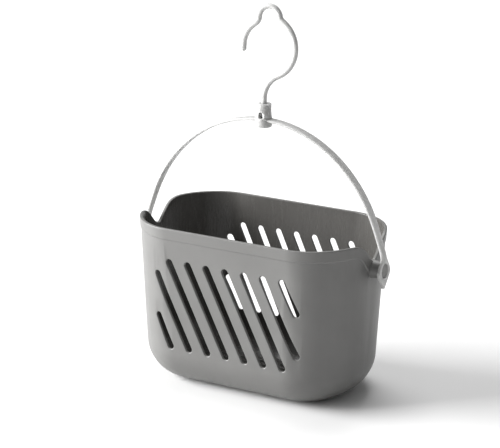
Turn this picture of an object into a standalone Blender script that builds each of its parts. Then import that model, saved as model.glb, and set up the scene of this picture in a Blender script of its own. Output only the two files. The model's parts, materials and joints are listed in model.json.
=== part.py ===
"""Hanging shower caddy: a slotted basket, a bail handle and a swivelling hook.

Metres, +Z up. The origin is the middle of the basket's underside, +X runs along
the basket's long side and +Y towards its back.
"""

import math

import bmesh
import bpy

# Basket: a thin tapering shell with round corners
OVERALL_WIDTH = 0.230  # across the outer faces of the handle's two ears
DEPTH = 0.130
BASKET_HEIGHT = 0.140
RIM_LENGTH = 0.2112
TAPER_X = 0.042  # how far an end wall leans in, per metre of height
TAPER_Y = 0.035
CORNER_X = 0.0490  # semi-axes of the corner's ellipse
CORNER_Y = 0.0580
BASE_ROUND = 0.030
WALL = 0.0024
FLOOR = 0.0025
BAND_HEIGHT = 0.0095  # raised band that follows the rim
BAND_PROUD = 0.0006
BAND_STEP = 0.0008
RIM_EDGE = 0.0008
WALL_LEVELS = (0.5, 0.9)  # shares of the wall's height that get a ring of their own

# Bell-shaped notch in each end of the rim, above the pivot
NOTCH_SPREAD = 0.0147  # distance from the middle at which its depth is down to 1/e
NOTCH_DEPTH = 0.0182

# Slots: one slanted pattern through both long walls, rows of drain slots in the floor
SLOT_COUNT = 9
SLOT_PITCH = 0.01773
SLOT_SLANT = math.radians(25.5)
SLOT_WIDTH = 0.0058
SLOT_TOP_Z = 0.1108  # centres of the slots' round ends
SLOT_BOTTOM_Z = 0.0366
SLOT_REACH_X = 0.0652
DRAIN_ROWS = 7
DRAIN_PITCH = 0.0091
DRAIN_WIDTH = 0.0042
DRAIN_REACH_X = 0.060
DRAIN_BRIDGE = 0.008
DRAIN_SHORTENING = 3.2  # how much shorter a row is, per metre squared from the middle

# Pivots: pegs moulded on the basket, in holes in the handle's ears
PIVOT_Z = 0.1144
PEG_RADIUS = 0.0057
PEG_CHAMFER = 0.0004
PEG_INSET = 0.0004  # how far the peg's face sits inside the ear's outer face
SHOULDER_RADIUS = 0.0070
SHOULDER_ROOT_RADIUS = 0.0080
RUNNING_GAP = 0.0003

# Handle: a flat band that arches over the basket, with an ear at each end and a hub
EAR_THICKNESS = 0.0026
EAR_HALF_WIDTH = 0.0104
EAR_TIP_HALF_WIDTH = 0.0016
EAR_TIP_Z = 0.0990
EAR_WIDEST_Z = 0.1126
EAR_TAPER_POWER = 1.3  # 1 would be a straight-sided point
EAR_STRAIGHT_TOP_Z = 0.1215
EAR_ROOT_Z = 0.1270  # where the ear has narrowed into the leg
BAND_THICKNESS = 0.0021
BAND_EDGE = 0.0005
BAND_HALF_WIDTH = 0.0047
BAND_FULL_Z = 0.168
LEG_HALF_WIDTH = 0.0037
ARCH_HALF_WIDTH = 0.1134  # semi-axes and centre of the arch's ellipse
ARCH_HEIGHT = 0.1230
ARCH_CENTRE_Z = 0.1039
ARCH_START_Z = 0.146
HUB_BOTTOM_Z = 0.2209
HUB_RING_TOP_Z = 0.2283
HUB_COLLAR_Z = 0.2372
HUB_TOP_Z = 0.2406
HUB_RING_RADIUS = 0.0071
HUB_BARREL_RADIUS = 0.0066
HUB_NECK_RADIUS = 0.0060
HUB_COLLAR_RADIUS = 0.0062
HUB_EDGE = 0.0009
HUB_STEP = 0.0003
CAGE_RADIUS = 0.0050
CAGE_BOTTOM_Z = 0.2266
CAGE_TOP_Z = 0.2346
CAGE_CHAMFER = 0.001
WINDOW_WIDTH = 0.0046
WINDOW_BOTTOM_Z = 0.2287
WINDOW_TOP_Z = 0.2338
WINDOW_REACH = 0.012

# Hook: a round rod bent in the XZ plane, with a split head that the hub holds captive
ROD_RADIUS = 0.0024
HEAD_RADIUS = 0.0045
HEAD_TIP_RADIUS = 0.0025
HEAD_BOTTOM_Z = 0.2271
HEAD_TOP_Z = 0.2341
HEAD_WIDE_BOTTOM_Z = 0.2311
HEAD_WIDE_TOP_Z = 0.2323
HEAD_SPLIT = 0.0012
HEAD_SPLIT_TOP_Z = 0.2325
NECK_RADIUS = 0.00235
NECK_OVERLAP = 0.0005
HOOK_START_Z = 0.2404
HOOK_PATH = (  # (length of a straight run) or (radius, turn to the left in degrees)
    (0.0042,),
    (0.0220, -66.0),
    (0.0260, 119.5),
    (0.0030,),
    (0.0045, -44.0),
    (0.0097, 168.0),
    (0.0078, -50.0),
    (0.0030,),
    (0.0225, 50.0),
    (0.0037,),
)

GREY_PLASTIC = ("grey_plastic", (0.150, 0.148, 0.142), 0.42)
WHITE_PLASTIC = ("white_plastic", (0.830, 0.830, 0.820), 0.35)


def smooth_step(value):
    """0 below 0, 1 above 1, and a smooth rise between them."""
    value = min(max(value, 0.0), 1.0)
    return value * value * (3.0 - 2.0 * value)


def blend(start, end, share):
    return start + (end - start) * share


def clear_scene():
    for obj in list(bpy.data.objects):
        bpy.data.objects.remove(obj, do_unlink=True)


def make_material(name, colour, roughness):
    material = bpy.data.materials.new(name)
    material.use_nodes = True
    shader = material.node_tree.nodes["Principled BSDF"]
    shader.inputs["Base Color"].default_value = (*colour, 1.0)
    shader.inputs["Roughness"].default_value = roughness
    shader.inputs["Metallic"].default_value = 0.0
    return material


def make_object(name, mesh_maker, origin=(0.0, 0.0, 0.0)):
    """An object whose geometry is given in world coordinates and whose origin is elsewhere."""
    bm = bmesh.new()
    mesh_maker(bm)
    bmesh.ops.translate(bm, verts=bm.verts, vec=[-value for value in origin])
    bmesh.ops.recalc_face_normals(bm, faces=bm.faces)
    mesh = bpy.data.meshes.new(name)
    bm.to_mesh(mesh)
    bm.free()
    mesh.shade_smooth()
    mesh.set_sharp_from_angle(angle=math.radians(35))
    obj = bpy.data.objects.new(name, mesh)
    obj.location = origin
    bpy.context.scene.collection.objects.link(obj)
    return obj


def add_boolean(obj, other, operation):
    """Cuts or joins another object, which stays in the scene as a hidden helper."""
    modifier = obj.modifiers.new(f"{operation.lower()}_{other.name}", "BOOLEAN")
    modifier.operation = operation
    modifier.solver = "EXACT"
    modifier.object = other
    other.hide_render = True
    other.display_type = "WIRE"


def bridge(bm, first, second):
    """A closed strip of quads between two rings of the same length."""
    count = len(first)
    for i in range(count):
        j = (i + 1) % count
        bm.faces.new((first[i], first[j], second[j], second[i]))


def add_prism(bm, outline, place, near, far):
    """A closed prism: outline points (u, v) put in space by place(u, v, w) at w=near and far."""
    rings = [[bm.verts.new(place(u, v, w)) for u, v in outline] for w in (near, far)]
    bridge(bm, *rings)
    bm.faces.new(rings[0])
    bm.faces.new(list(reversed(rings[1])))


def add_turned(bm, profile, place, segments):
    """A solid of revolution from profile points (radius, height), ends closed flat."""
    rings = []
    for radius, height in profile:
        ring = []
        for i in range(segments):
            angle = 2.0 * math.pi * i / segments
            u, v = radius * math.cos(angle), radius * math.sin(angle)
            ring.append(bm.verts.new(place(u, v, height)))
        rings.append(ring)
    for lower, upper in zip(rings, rings[1:]):
        bridge(bm, lower, upper)
    bm.faces.new(rings[0])
    bm.faces.new(list(reversed(rings[-1])))


def stadium(start, end, width, end_steps=6):
    """Outline of a round-ended slot between two centre points."""
    (x0, y0), (x1, y1) = start, end
    along = math.atan2(y1 - y0, x1 - x0)
    points = []
    for (x, y), first_angle in ((end, along - math.pi / 2), (start, along + math.pi / 2)):
        for i in range(end_steps + 1):
            angle = first_angle + math.pi * i / end_steps
            points.append((x + width / 2 * math.cos(angle), y + width / 2 * math.sin(angle)))
    return points


# ---------------------------------------------------------------- basket


def rim_height(y):
    """Height of an end wall's rim at y, where the notch dips to take the handle's leg."""
    return BASKET_HEIGHT - NOTCH_DEPTH * math.exp(-((y / NOTCH_SPREAD) ** 2))


def shell_point(column, offset, z):
    """A point of the shell at height z, moved outwards from its surface by offset."""
    side_x, side_y, angle = column
    drop = BASKET_HEIGHT - z
    half_x = RIM_LENGTH / 2 - BAND_PROUD - TAPER_X * drop
    half_y = DEPTH / 2 - BAND_PROUD - TAPER_Y * drop
    x = half_x - CORNER_X + (CORNER_X + offset) * math.cos(angle)
    y = half_y - CORNER_Y + (CORNER_Y + offset) * math.sin(angle)
    return (side_x * x, side_y * y, z)


def shell_columns(corner_steps=14, crowding=1.6):
    """(x side, y side, corner angle) of each column, once round.

    The columns crowd towards the ends' middles, where the notches are, and each
    end's flat middle has columns of its own, where the y side is a fraction.
    """
    shares = [(i / corner_steps) ** crowding for i in range(corner_steps + 1)]
    angles = [math.pi / 2 * share for share in shares]
    columns = [(1, share, 0.0) for share in (-0.5, 0, 0.5)]
    columns += [(1, 1, angle) for angle in angles]
    columns += [(-1, 1, angle) for angle in reversed(angles)]
    columns += [(-1, share, 0.0) for share in (0.5, 0, -0.5)]
    columns += [(-1, -1, angle) for angle in angles]
    columns += [(1, -1, angle) for angle in reversed(angles)]
    return columns


def shell_profile(column, round_steps=6):
    """(offset, z) pairs from the edge of the underside, over the rim, to the floor's edge."""
    y = shell_point(column, 0.0, BASKET_HEIGHT)[1]
    rim = rim_height(y)
    slope = 2.0 * y / NOTCH_SPREAD**2 * (BASKET_HEIGHT - rim)
    step_z = rim - BAND_HEIGHT * math.sqrt(1.0 + slope * slope)
    turns = [math.pi / 2 * i / round_steps for i in range(round_steps + 1)]
    wall_z = [blend(BASE_ROUND, step_z, share) for share in WALL_LEVELS]
    outer = [(BASE_ROUND * (math.sin(a) - 1.0), BASE_ROUND * (1.0 - math.cos(a))) for a in turns]
    outer += [(0.0, z) for z in wall_z]
    outer += [(0.0, step_z), (BAND_PROUD, step_z + BAND_STEP)]
    outer += [(BAND_PROUD, rim - RIM_EDGE), (BAND_PROUD - RIM_EDGE, rim)]
    inner = [(RIM_EDGE - WALL, rim), (-WALL, rim - RIM_EDGE)]
    inner += [(-WALL, z) for z in reversed([*wall_z, step_z])]
    hollow = BASE_ROUND - WALL
    inner += [
        (hollow * math.sin(a) - BASE_ROUND, BASE_ROUND - (BASE_ROUND - FLOOR) * math.cos(a))
        for a in reversed(turns)
    ]
    return outer + inner


def add_shell(bm):
    columns = shell_columns()
    profiles = [shell_profile(column) for column in columns]
    rings = []
    for level in zip(*profiles):
        ring = [shell_point(column, *place) for column, place in zip(columns, level)]
        rings.append([bm.verts.new(point) for point in ring])
    for lower, upper in zip(rings, rings[1:]):
        bridge(bm, lower, upper)
    bm.faces.new(rings[0])
    bm.faces.new(list(reversed(rings[-1])))


def add_pivots(bm):
    """The shoulder and peg on each end, from inside the wall to just inside the ear's face."""
    wall_x = shell_point((1, 0, 0.0), 0.0, PIVOT_Z)[0]
    shoulder_x = OVERALL_WIDTH / 2 - EAR_THICKNESS - RUNNING_GAP
    peg_x = OVERALL_WIDTH / 2 - PEG_INSET
    profile = (
        (SHOULDER_ROOT_RADIUS, wall_x - WALL / 2),
        (SHOULDER_RADIUS, shoulder_x),
        (PEG_RADIUS, shoulder_x),
        (PEG_RADIUS, peg_x - PEG_CHAMFER),
        (PEG_RADIUS - PEG_CHAMFER, peg_x),
    )
    for side in (1, -1):
        add_turned(bm, profile, lambda u, v, w: (side * w, u, PIVOT_Z + v), 28)


def slot_ends(index):
    """Centre points (x, z) of a wall slot's two round ends."""
    slant = math.tan(SLOT_SLANT)
    middle_x = (index - (SLOT_COUNT - 1) / 2) * SLOT_PITCH
    middle_z = (SLOT_TOP_Z + SLOT_BOTTOM_Z) / 2
    top = min(SLOT_TOP_Z, middle_z + (middle_x + SLOT_REACH_X) / slant)
    bottom = max(SLOT_BOTTOM_Z, middle_z + (middle_x - SLOT_REACH_X) / slant)
    return [(middle_x + (middle_z - z) * slant, z) for z in (top, bottom)]


def add_wall_slots(bm):
    for index in range(SLOT_COUNT):
        outline = stadium(*slot_ends(index), SLOT_WIDTH)
        add_prism(bm, outline, lambda u, v, w: (u, w, v), -DEPTH, DEPTH)


def add_drain_slots(bm):
    for row in range(DRAIN_ROWS):
        y = (row - (DRAIN_ROWS - 1) / 2) * DRAIN_PITCH
        end = DRAIN_REACH_X - DRAIN_SHORTENING * y * y - DRAIN_WIDTH / 2
        start = DRAIN_BRIDGE / 2 + DRAIN_WIDTH / 2
        for side in (1, -1):
            ends = sorted((side * start, side * end))
            outline = stadium((ends[0], y), (ends[1], y), DRAIN_WIDTH, 4)
            add_prism(bm, outline, lambda u, v, w: (u, v, w), -FLOOR, BASE_ROUND / 2)


def make_basket(material):
    basket = make_object("basket", add_shell)
    basket.data.materials.append(material)
    add_boolean(basket, make_object("pivot_join", add_pivots), "UNION")
    add_boolean(basket, make_object("wall_slot_cutter", add_wall_slots), "DIFFERENCE")
    add_boolean(basket, make_object("drain_slot_cutter", add_drain_slots), "DIFFERENCE")
    return basket


# ---------------------------------------------------------------- handle


def arch_x(z):
    return ARCH_HALF_WIDTH * math.sqrt(1.0 - ((z - ARCH_CENTRE_Z) / ARCH_HEIGHT) ** 2)


def handle_path(ear_steps=14, bend_steps=4, arch_steps=16):
    """Centre line (x, z) of the right half, from the ear's tip up to the top of the arch."""
    ear_x = (OVERALL_WIDTH - EAR_THICKNESS) / 2
    points = []
    for i in range(ear_steps + 1):
        share = (1.0 - math.cos(math.pi * i / ear_steps)) / 2
        points.append((ear_x, blend(EAR_TIP_Z, EAR_STRAIGHT_TOP_Z, share)))
    arch_end = (arch_x(ARCH_START_Z), ARCH_START_Z)
    slope = (ARCH_HALF_WIDTH / ARCH_HEIGHT) ** 2 * (ARCH_START_Z - ARCH_CENTRE_Z) / arch_end[0]
    run = (ARCH_START_Z - EAR_STRAIGHT_TOP_Z) / 2
    pulls = ((ear_x, EAR_STRAIGHT_TOP_Z + run / 2), (arch_end[0] + slope * run, ARCH_START_Z - run))
    for i in range(1, bend_steps + 1):
        t = i / bend_steps
        weights = ((1 - t) ** 3, 3 * t * (1 - t) ** 2, 3 * t * t * (1 - t), t**3)
        corners = (points[ear_steps], *pulls, arch_end)
        points.append(tuple(sum(w * c[k] for w, c in zip(weights, corners)) for k in (0, 1)))
    start = math.asin((ARCH_START_Z - ARCH_CENTRE_Z) / ARCH_HEIGHT)
    for i in range(1, arch_steps + 1):
        angle = blend(start, math.pi / 2, i / arch_steps)
        x = ARCH_HALF_WIDTH * math.cos(angle)
        points.append((x, ARCH_CENTRE_Z + ARCH_HEIGHT * math.sin(angle)))
    return points


def half_width_at(z):
    """Half the handle's width along Y: a leaf-shaped ear, a slim leg and a wider band."""
    if z < EAR_WIDEST_Z:
        drop = (EAR_WIDEST_Z - z) / (EAR_WIDEST_Z - EAR_TIP_Z)
        return max(EAR_HALF_WIDTH * (1.0 - drop**EAR_TAPER_POWER), EAR_TIP_HALF_WIDTH)
    if z < EAR_ROOT_Z:
        share = smooth_step((z - EAR_WIDEST_Z) / (EAR_ROOT_Z - EAR_WIDEST_Z))
        return blend(EAR_HALF_WIDTH, LEG_HALF_WIDTH, share)
    share = smooth_step((z - EAR_ROOT_Z) / (BAND_FULL_Z - EAR_ROOT_Z))
    return blend(LEG_HALF_WIDTH, BAND_HALF_WIDTH, share)


def thickness_at(z):
    share = smooth_step((z - EAR_STRAIGHT_TOP_Z) / (ARCH_START_Z - EAR_STRAIGHT_TOP_Z))
    return blend(EAR_THICKNESS, BAND_THICKNESS, share)


def add_ribbon(bm):
    right = handle_path()
    path = right + [(-x, z) for x, z in reversed(right[:-1])]
    rings = []
    for i, (x, z) in enumerate(path):
        before, after = path[max(i - 1, 0)], path[min(i + 1, len(path) - 1)]
        length = math.hypot(after[0] - before[0], after[1] - before[1])
        normal = ((after[1] - before[1]) / length, (before[0] - after[0]) / length)
        thick, wide = thickness_at(z) / 2, half_width_at(z)
        corners = (
            (thick, wide - BAND_EDGE),
            (thick - BAND_EDGE, wide),
            (BAND_EDGE - thick, wide),
            (-thick, wide - BAND_EDGE),
            (-thick, BAND_EDGE - wide),
            (BAND_EDGE - thick, -wide),
            (thick - BAND_EDGE, -wide),
            (thick, BAND_EDGE - wide),
        )
        ring = [(x + normal[0] * n, y, z + normal[1] * n) for n, y in corners]
        rings.append([bm.verts.new(point) for point in ring])
    for lower, upper in zip(rings, rings[1:]):
        bridge(bm, lower, upper)
    bm.faces.new(rings[0])
    bm.faces.new(list(reversed(rings[-1])))


def add_hub(bm):
    profile = (
        (HUB_RING_RADIUS - 2 * HUB_EDGE, HUB_BOTTOM_Z),
        (HUB_RING_RADIUS - HUB_EDGE / 2, HUB_BOTTOM_Z + HUB_EDGE / 2),
        (HUB_RING_RADIUS, HUB_BOTTOM_Z + 2 * HUB_EDGE),
        (HUB_RING_RADIUS, HUB_RING_TOP_Z),
        (HUB_BARREL_RADIUS, HUB_RING_TOP_Z + HUB_STEP),
        (HUB_NECK_RADIUS, HUB_COLLAR_Z),
        (HUB_COLLAR_RADIUS, HUB_COLLAR_Z + HUB_STEP),
        (HUB_COLLAR_RADIUS, HUB_TOP_Z - HUB_EDGE / 2),
        (HUB_COLLAR_RADIUS - HUB_EDGE / 2, HUB_TOP_Z),
    )
    add_turned(bm, profile, lambda u, v, w: (u, v, w), 28)


def add_hub_cage(bm):
    """The hollow that holds the hook's head, with the stem's bore above it."""
    bore = ROD_RADIUS + RUNNING_GAP
    profile = (
        (CAGE_RADIUS, CAGE_BOTTOM_Z),
        (CAGE_RADIUS, CAGE_TOP_Z - CAGE_CHAMFER),
        (bore, CAGE_TOP_Z),
        (bore, HUB_TOP_Z + CAGE_CHAMFER),
    )
    add_turned(bm, profile, lambda u, v, w: (u, v, w), 24)


def add_hub_windows(bm, arch_steps=8):
    """An arched window through the front and back of the hub."""
    radius = WINDOW_WIDTH / 2
    outline = [(-radius, WINDOW_BOTTOM_Z), (radius, WINDOW_BOTTOM_Z)]
    for i in range(arch_steps + 1):
        angle = math.pi * i / arch_steps
        z = WINDOW_TOP_Z - radius + radius * math.sin(angle)
        outline.append((radius * math.cos(angle), z))
    add_prism(bm, outline, lambda u, v, w: (u, w, v), -WINDOW_REACH, WINDOW_REACH)


def add_ear_holes(bm):
    radius = PEG_RADIUS + RUNNING_GAP
    outer_x = OVERALL_WIDTH / 2
    profile = ((radius, outer_x - 3 * EAR_THICKNESS), (radius, outer_x + EAR_THICKNESS))
    for side in (1, -1):
        add_turned(bm, profile, lambda u, v, w: (side * w, u, PIVOT_Z + v), 28)


def make_handle(material):
    origin = (0.0, 0.0, PIVOT_Z)
    handle = make_object("handle", add_ribbon, origin)
    handle.data.materials.append(material)
    add_boolean(handle, make_object("hub_join", add_hub), "UNION")
    add_boolean(handle, make_object("ear_hole_cutter", add_ear_holes), "DIFFERENCE")
    add_boolean(handle, make_object("hub_cage_cutter", add_hub_cage), "DIFFERENCE")
    add_boolean(handle, make_object("hub_window_cutter", add_hub_windows), "DIFFERENCE")
    return handle


# ---------------------------------------------------------------- hook


def hook_path(degrees_per_step=9.0):
    """Points and headings (x, z, heading) of the rod's centre line, starting up the stem."""
    x, z, heading = 0.0, HOOK_START_Z, math.pi / 2
    points = [(x, HEAD_TOP_Z - NECK_OVERLAP, heading), (x, z, heading)]
    for piece in HOOK_PATH:
        if len(piece) == 1:
            x += piece[0] * math.cos(heading)
            z += piece[0] * math.sin(heading)
            points.append((x, z, heading))
            continue
        radius, turn = piece
        steps = max(2, round(abs(turn) / degrees_per_step))
        part = math.radians(turn) / steps
        for _ in range(steps):
            chord = 2.0 * radius * math.sin(abs(part) / 2)
            x += chord * math.cos(heading + part / 2)
            z += chord * math.sin(heading + part / 2)
            heading += part
            points.append((x, z, heading))
    return points


def add_rod(bm, segments=12):
    """The bent rod, with a half-round tip at its free end."""
    points = hook_path()
    stations = [(x, z, heading, ROD_RADIUS) for x, z, heading in points]
    x, z, heading = points[-1]
    for tilt in map(math.radians, (30, 60, 82)):
        reach = ROD_RADIUS * math.sin(tilt)
        tip = (x + reach * math.cos(heading), z + reach * math.sin(heading))
        stations.append((*tip, heading, ROD_RADIUS * math.cos(tilt)))
    rings = []
    for x, z, heading, radius in stations:
        ring = []
        for i in range(segments):
            angle = 2.0 * math.pi * i / segments
            aside, across = radius * math.cos(angle), radius * math.sin(angle)
            place = (x + aside * math.sin(heading), across, z - aside * math.cos(heading))
            ring.append(bm.verts.new(place))
        rings.append(ring)
    for lower, upper in zip(rings, rings[1:]):
        bridge(bm, lower, upper)
    bm.faces.new(rings[0])
    bm.faces.new(list(reversed(rings[-1])))


def add_head(bm):
    """The barbed head: a cone that widens upwards to a shoulder under the stem's neck."""
    profile = (
        (HEAD_TIP_RADIUS, HEAD_BOTTOM_Z),
        (HEAD_RADIUS, HEAD_WIDE_BOTTOM_Z),
        (HEAD_RADIUS, HEAD_WIDE_TOP_Z),
        (NECK_RADIUS, HEAD_TOP_Z - NECK_OVERLAP),
        (NECK_RADIUS, HEAD_TOP_Z + 4 * NECK_OVERLAP),
    )
    add_turned(bm, profile, lambda u, v, w: (u, v, w), 24)


def add_head_split(bm):
    half = HEAD_SPLIT / 2
    reach = 2 * HEAD_RADIUS
    outline = ((-half, -reach), (half, -reach), (half, reach), (-half, reach))
    split_bottom = HEAD_BOTTOM_Z - HEAD_SPLIT
    add_prism(bm, outline, lambda u, v, w: (u, v, w), split_bottom, HEAD_SPLIT_TOP_Z)


def make_hook(material):
    origin = (0.0, 0.0, HUB_TOP_Z)
    hook = make_object("hook", add_rod, origin)
    hook.data.materials.append(material)
    add_boolean(hook, make_object("head_join", add_head), "UNION")
    add_boolean(hook, make_object("head_split_cutter", add_head_split), "DIFFERENCE")
    return hook


def main():
    clear_scene()
    grey = make_material(*GREY_PLASTIC)
    white = make_material(*WHITE_PLASTIC)
    basket = make_basket(grey)
    handle = make_handle(white)
    hook = make_hook(white)
    bpy.context.view_layer.update()
    handle.parent = basket
    handle.matrix_parent_inverse = basket.matrix_world.inverted()
    hook.parent = handle
    hook.matrix_parent_inverse = handle.matrix_world.inverted()


main()
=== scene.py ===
"""Looks of the hanging shower caddy: finer meshes, moulded plastics, floor, light, camera.

Metres, +Z up. The origin is the middle of the basket's underside, +X runs along
the basket's long side and +Y towards its back.
"""

import json
import math

import bmesh
import bpy
from mathutils import Matrix, Vector

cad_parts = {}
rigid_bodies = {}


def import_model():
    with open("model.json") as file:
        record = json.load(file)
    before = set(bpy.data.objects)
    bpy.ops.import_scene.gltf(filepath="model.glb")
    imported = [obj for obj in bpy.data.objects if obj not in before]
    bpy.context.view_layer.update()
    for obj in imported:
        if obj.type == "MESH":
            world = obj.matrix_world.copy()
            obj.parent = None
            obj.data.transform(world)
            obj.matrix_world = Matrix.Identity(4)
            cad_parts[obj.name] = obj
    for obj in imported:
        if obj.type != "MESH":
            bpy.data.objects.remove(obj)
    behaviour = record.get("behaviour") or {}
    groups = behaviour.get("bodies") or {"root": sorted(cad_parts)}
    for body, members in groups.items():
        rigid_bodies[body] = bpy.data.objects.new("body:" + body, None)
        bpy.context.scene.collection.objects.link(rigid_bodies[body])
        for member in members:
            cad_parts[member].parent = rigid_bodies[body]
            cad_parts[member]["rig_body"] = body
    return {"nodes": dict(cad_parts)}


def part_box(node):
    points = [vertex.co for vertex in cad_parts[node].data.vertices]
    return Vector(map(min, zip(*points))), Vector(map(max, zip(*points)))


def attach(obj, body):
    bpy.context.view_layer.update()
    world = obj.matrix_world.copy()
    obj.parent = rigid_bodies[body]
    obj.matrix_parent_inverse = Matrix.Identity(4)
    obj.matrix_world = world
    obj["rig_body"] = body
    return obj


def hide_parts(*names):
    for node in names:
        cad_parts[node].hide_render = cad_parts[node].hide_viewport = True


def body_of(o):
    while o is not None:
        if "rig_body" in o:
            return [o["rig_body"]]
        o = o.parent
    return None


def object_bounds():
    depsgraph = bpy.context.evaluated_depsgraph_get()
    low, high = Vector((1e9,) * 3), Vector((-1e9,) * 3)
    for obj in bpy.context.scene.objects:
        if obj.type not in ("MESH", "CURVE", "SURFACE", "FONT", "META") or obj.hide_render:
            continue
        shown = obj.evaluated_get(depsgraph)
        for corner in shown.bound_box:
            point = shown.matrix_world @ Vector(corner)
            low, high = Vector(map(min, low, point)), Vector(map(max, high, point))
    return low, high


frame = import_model()
CAD_BOX = [list(corner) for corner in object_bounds()]
BASKET_LOW, BASKET_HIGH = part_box("basket")
HANDLE_LOW, HANDLE_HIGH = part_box("handle")

# Overall sizes, from the CAD nodes
OVERALL_WIDTH = HANDLE_HIGH[0] - HANDLE_LOW[0]
DEPTH = BASKET_HIGH[1] - BASKET_LOW[1]
BASKET_HEIGHT = BASKET_HIGH[2]

# Basket: a thin tapering shell with round corners
RIM_LENGTH = 0.2112
TAPER_X = 0.042  # how much each side leans in, per metre downwards
TAPER_Y = 0.035
CORNER_X = 0.0490  # half axes of the elliptical corners, seen from above
CORNER_Y = 0.0580
BASE_ROUND = 0.030
BASE_FLAT_INSET = 1.1 * BASE_ROUND  # from the shell's outline to its flat bottom faces
WALL = 0.0024
FLOOR = 0.0025
WALL_LEVELS = (0.02, 0.5, 0.98)  # plain rings of the wall, as shares of its height
END_SHARES = tuple(i / 4 for i in range(-3, 4))  # columns across an end's flat middle
SIDE_SHARES = (0.96, 0.0, -0.96)  # columns along a side's flat middle
BAND_HEIGHT = 0.0095
BAND_PROUD = 0.0006
BAND_RISE = 0.0015  # height over which the step under the band comes out
RIM_ROUND = 0.0009
NOTCH_SPREAD = 0.0147
NOTCH_DEPTH = 0.0182
BASKET_SHARP_DEGREES = 21

# Slots in the walls and the floor; a cutter's flared mouth ends CUT_PAST beyond the surface
SLOT_COUNT = 9
SLOT_PITCH = 0.01773
SLOT_SLANT = math.radians(25.5)
SLOT_WIDTH = 0.0058
SLOT_TOP_Z = 0.1108
SLOT_BOTTOM_Z = 0.0366
SLOT_REACH_X = 0.0652  # furthest that a slot's end is from the wall's middle
SLOT_OUTER_ROUND = 0.0008
SLOT_INNER_ROUND = 0.0005
SLOT_CUT_PAST = 0.001
DRAIN_ROWS = 7
DRAIN_PITCH = 0.0091
DRAIN_WIDTH = 0.0042
DRAIN_REACH_X = 0.060
DRAIN_BRIDGE = 0.008
DRAIN_SHORTENING = 3.2  # a row's ends come in by this times its y squared
DRAIN_ROUND = 0.0005
DRAIN_CUT_PAST = 0.0005
CUTTER_REACH = 0.003  # flat cutter ends outside the basket
CUTTER_INNER_Y = 0.048  # and inside it, behind the walls
CUTTER_TOP_Z = 0.012  # and above the floor

# Vertices this near the wall's true surface get its normal, where the face's agrees
SURFACE_REACH = 0.00005
SAME_SURFACE = math.cos(math.radians(8))

# Pivots
PIVOT_Z = 0.1144
PEG_RADIUS = 0.0057
PEG_ROUND = 0.0006
PEG_FACE_RADIUS = PEG_RADIUS - 4 * PEG_ROUND
PEG_FACE_X = BASKET_HIGH[0]
SHOULDER_RADIUS = 0.0070
SHOULDER_ROOT_RADIUS = 0.0080
RUNNING_GAP = 0.0003

# Handle: ear, leg and arched band
EAR_THICKNESS = 0.0026
EAR_HALF_WIDTH = 0.0104
EAR_TIP_HALF_WIDTH = 0.0016
EAR_TIP_Z = HANDLE_LOW[2]
EAR_WIDEST_Z = 0.1126
EAR_TAPER_POWER = 1.3
EAR_STRAIGHT_TOP_Z = 0.1215
EAR_ROOT_Z = 0.1270
EAR_HOLE_ROUND = 0.0004
EAR_HOLE_CUT_PAST = 0.0004
BAND_THICKNESS = 0.0021
BAND_EDGE = 0.0007
BAND_HALF_WIDTH = 0.0047
BAND_FULL_Z = 0.168
TIP_FIRST_TURN = 0.1  # share of the tip's quarter turn where its evenly spaced rings start
TIP_ROUNDING = 0.9  # how far in the ear's end face is, as a share of the edge's radius
LEG_HALF_WIDTH = 0.0037
ARCH_HALF_WIDTH = 0.1134
ARCH_HEIGHT = 0.1230
ARCH_CENTRE_Z = 0.1039
ARCH_START_Z = 0.146
WHITE_SHARP_DEGREES = 24

# Hub, with the cage inside it
HUB_BOTTOM_Z = 0.2209
HUB_FOOT_INSET = 0.00045
HUB_FOOT_HEIGHT = 0.0018
HUB_RING_TOP_Z = 0.2283
HUB_COLLAR_Z = 0.2372
HUB_TOP_Z = HANDLE_HIGH[2]
HUB_RING_RADIUS = 0.0071
HUB_BARREL_RADIUS = 0.0066
HUB_NECK_RADIUS = 0.0060
HUB_COLLAR_RADIUS = 0.0062
HUB_FACE_INSET = 0.0027  # how far in from the hub's sides its profile starts and ends
HUB_ROUND = 0.0006
HUB_STEP = 0.0003
CAGE_RADIUS = 0.0050
CAGE_BOTTOM_Z = 0.2266
CAGE_TOP_Z = 0.2346
CAGE_CHAMFER = 0.001
BORE_CHAMFER = 0.0005
BORE_CUT_PAST = 0.001
WINDOW_WIDTH = 0.0046
WINDOW_BOTTOM_Z = 0.2287
WINDOW_TOP_Z = 0.2338
WINDOW_REACH = 0.012

# Hook: split head, neck and bent rod
ROD_RADIUS = 0.0024
ROD_TIP_TURN = math.radians(86)
HEAD_RADIUS = 0.0045
HEAD_TIP_RADIUS = 0.0025
HEAD_BOTTOM_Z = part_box("hook")[0][2]
HEAD_TOP_Z = 0.2341
HEAD_WIDE_BOTTOM_Z = 0.2311
HEAD_WIDE_TOP_Z = 0.2323
HEAD_ROUND = 0.0004
HEAD_SPLIT = 0.0012
HEAD_SPLIT_TOP_Z = 0.2325
NECK_RADIUS = 0.00235
NECK_OVERLAP = 0.0005
NECK_RISE = 0.002
HOOK_START_Z = 0.2404
HOOK_PATH = (  # (length of a straight run) or (radius, turn to the left in degrees)
    (0.0042,),
    (0.0220, -66.0),
    (0.0260, 119.5),
    (0.0030,),
    (0.0045, -44.0),
    (0.0097, 168.0),
    (0.0078, -50.0),
    (0.0030,),
    (0.0225, 50.0),
    (0.0037,),
)

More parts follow.
